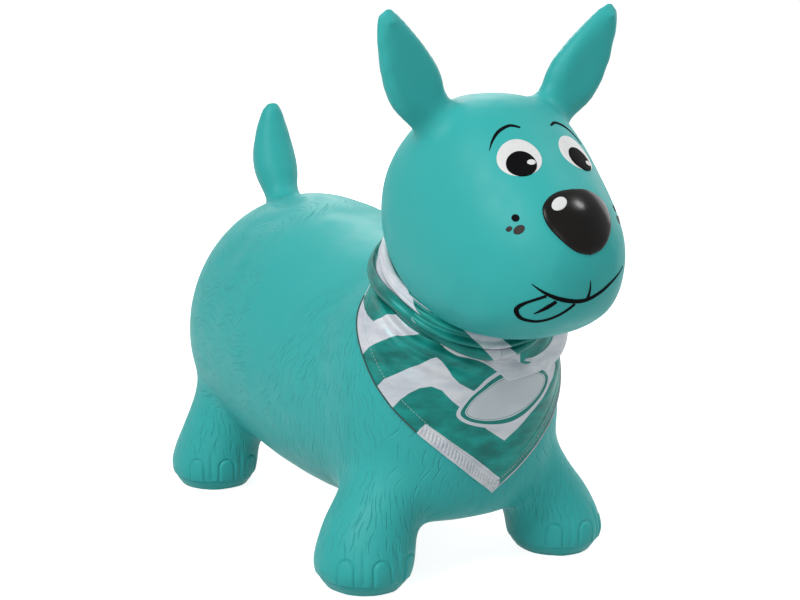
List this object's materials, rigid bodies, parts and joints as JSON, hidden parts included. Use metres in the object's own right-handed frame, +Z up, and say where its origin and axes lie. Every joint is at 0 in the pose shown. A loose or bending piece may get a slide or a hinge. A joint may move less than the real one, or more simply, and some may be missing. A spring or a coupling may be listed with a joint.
{
  "type": "inflatable ride-on animal",
  "caption": "Inflatable bouncy ride-on dog with upright ears and tail, stub legs, a printed face and a bandana round its neck.",
  "frame": {"origin": "on the floor, below the middle of the overall box", "axes": "+Z up, -Y where the animal looks, +X to the animal's left"},
  "size_m": [0.28, 0.5892, 0.4867],
  "materials": {
    "teal_vinyl": "matte",
    "valve_vinyl": "matte",
    "plug_white": "satin",
    "black_print": "gloss",
    "white_print": "gloss",
    "brown_print": "gloss",
    "nose_gloss": "high gloss",
    "bandana_satin": "satin"
  },
  "bodies": {
    "animal": {"bandana_bib": "bandana_satin", "bandana_end_left": "bandana_satin", "bandana_end_right": "bandana_satin", "bandana_knot": "bandana_satin", "bandana_roll_lower": "bandana_satin", "bandana_roll_upper": "bandana_satin", "brow_left": "black_print", "brow_right": "black_print", "cheek_dot_left_1": "black_print", "cheek_dot_left_2": "brown_print", "cheek_dot_left_3": "brown_print", "cheek_dot_right_1": "black_print", "cheek_dot_right_2": "brown_print", "cheek_dot_right_3": "brown_print", "eye_white_left": "white_print", "eye_white_right": "white_print", "glint_left": "white_print", "glint_right": "white_print", "inflatable_skin": "teal_vinyl", "mouth_line": "black_print", "mouth_notch": "black_print", "nose": "nose_gloss", "pupil_left": "black_print", "pupil_right": "black_print", "tongue_line": "black_print", "tongue_outline": "black_print", "valve_seat": "valve_vinyl"},
    "plug": {"valve_plug": "plug_white"}
  },
  "joints": [
    {"name": "plug_pull", "type": "slide", "parent": "animal", "child": "plug", "axis": [0, 0, -1], "range_m": [0, 0.02]}
  ]
}
